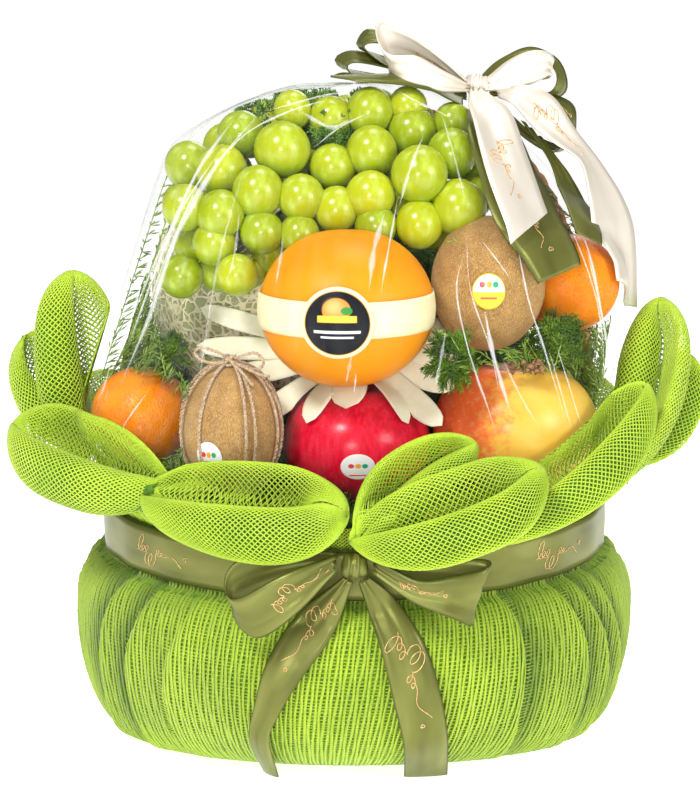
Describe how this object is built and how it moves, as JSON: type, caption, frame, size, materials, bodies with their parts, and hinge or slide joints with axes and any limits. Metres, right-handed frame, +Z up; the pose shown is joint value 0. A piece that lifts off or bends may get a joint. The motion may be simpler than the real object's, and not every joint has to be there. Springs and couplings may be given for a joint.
{
  "type": "fruit gift basket",
  "caption": "Fruit gift basket wrapped in green netting, with whole fruit under clear film and ribbon bows.",
  "frame": {"origin": "centre of the flat underside of the wrapped basket", "axes": "+Z up, the bow at the waist faces -Y, +X to the right seen from the front"},
  "size_m": [0.3746, 0.3612, 0.3753],
  "materials": {
    "net": "open plain-weave netting",
    "olive_satin": "satin ribbon",
    "cream_satin": "satin ribbon",
    "greenery": "fine sprigs",
    "sticker": "glossy printed sticker",
    "paper_belt": "smooth paper",
    "collar_paper": "soft matte paper",
    "twine": "twisted jute",
    "calyx": "dry and wrinkled",
    "wicker": "stained cane",
    "clear_film": "clear crinkled film",
    "grape_skin": "translucent with a light bloom",
    "kiwi_skin": "fine fuzz",
    "orange_peel": "pored peel",
    "melon_rind": "raised cream netting",
    "pear_skin": "smooth with fine dots",
    "apple_skin": "glossy with fine streaks",
    "mango_skin": "smooth, blushed and speckled"
  },
  "bodies": {
    "root": {"apple": "apple_skin", "apple_sticker": "sticker", "bow_knot": "cream_satin", "cream_loop_left": "cream_satin", "cream_loop_right": "cream_satin", "cream_tail_front": "cream_satin", "cream_tail_right": "cream_satin", "fern_bed": "greenery", "fern_left": "greenery", "fern_right": "greenery", "fern_right_front": "greenery", "fern_top": "greenery", "film": "clear_film", "grape_bunch": "grape_skin", "handle": "wicker", "kiwi_calyx": "calyx", "kiwi_left": "kiwi_skin", "kiwi_left_sticker": "sticker", "kiwi_left_twine": "twine", "kiwi_right": "kiwi_skin", "kiwi_right_sticker": "sticker", "mango": "mango_skin", "melon": "melon_rind", "net_collar": "net", "olive_band": "olive_satin", "olive_loop_left": "olive_satin", "olive_loop_low": "olive_satin", "olive_loop_right": "olive_satin", "olive_loop_top": "olive_satin", "olive_tail_front": "olive_satin", "olive_tail_right": "olive_satin", "orange_left": "orange_peel", "orange_right": "orange_peel", "paper_collar": "collar_paper", "pear": "pear_skin", "pear_band": "paper_belt", "pear_label": "sticker", "petal_front_inner": "net", "petal_front_left": "net", "petal_front_right": "net", "petal_left": "net", "petal_left_rear": "net", "petal_left_tall": "net", "petal_rear_1": "net", "petal_rear_2": "net", "petal_rear_3": "net", "petal_rear_4": "net", "petal_rear_5": "net", "petal_right": "net", "petal_right_rear": "net", "petal_right_tall": "net", "pouch": "net", "waist_knot": "olive_satin", "waist_loop_left": "olive_satin", "waist_loop_right": "olive_satin", "waist_ribbon": "olive_satin", "waist_tail_left": "olive_satin", "waist_tail_right": "olive_satin"}
  },
  "joints": []
}
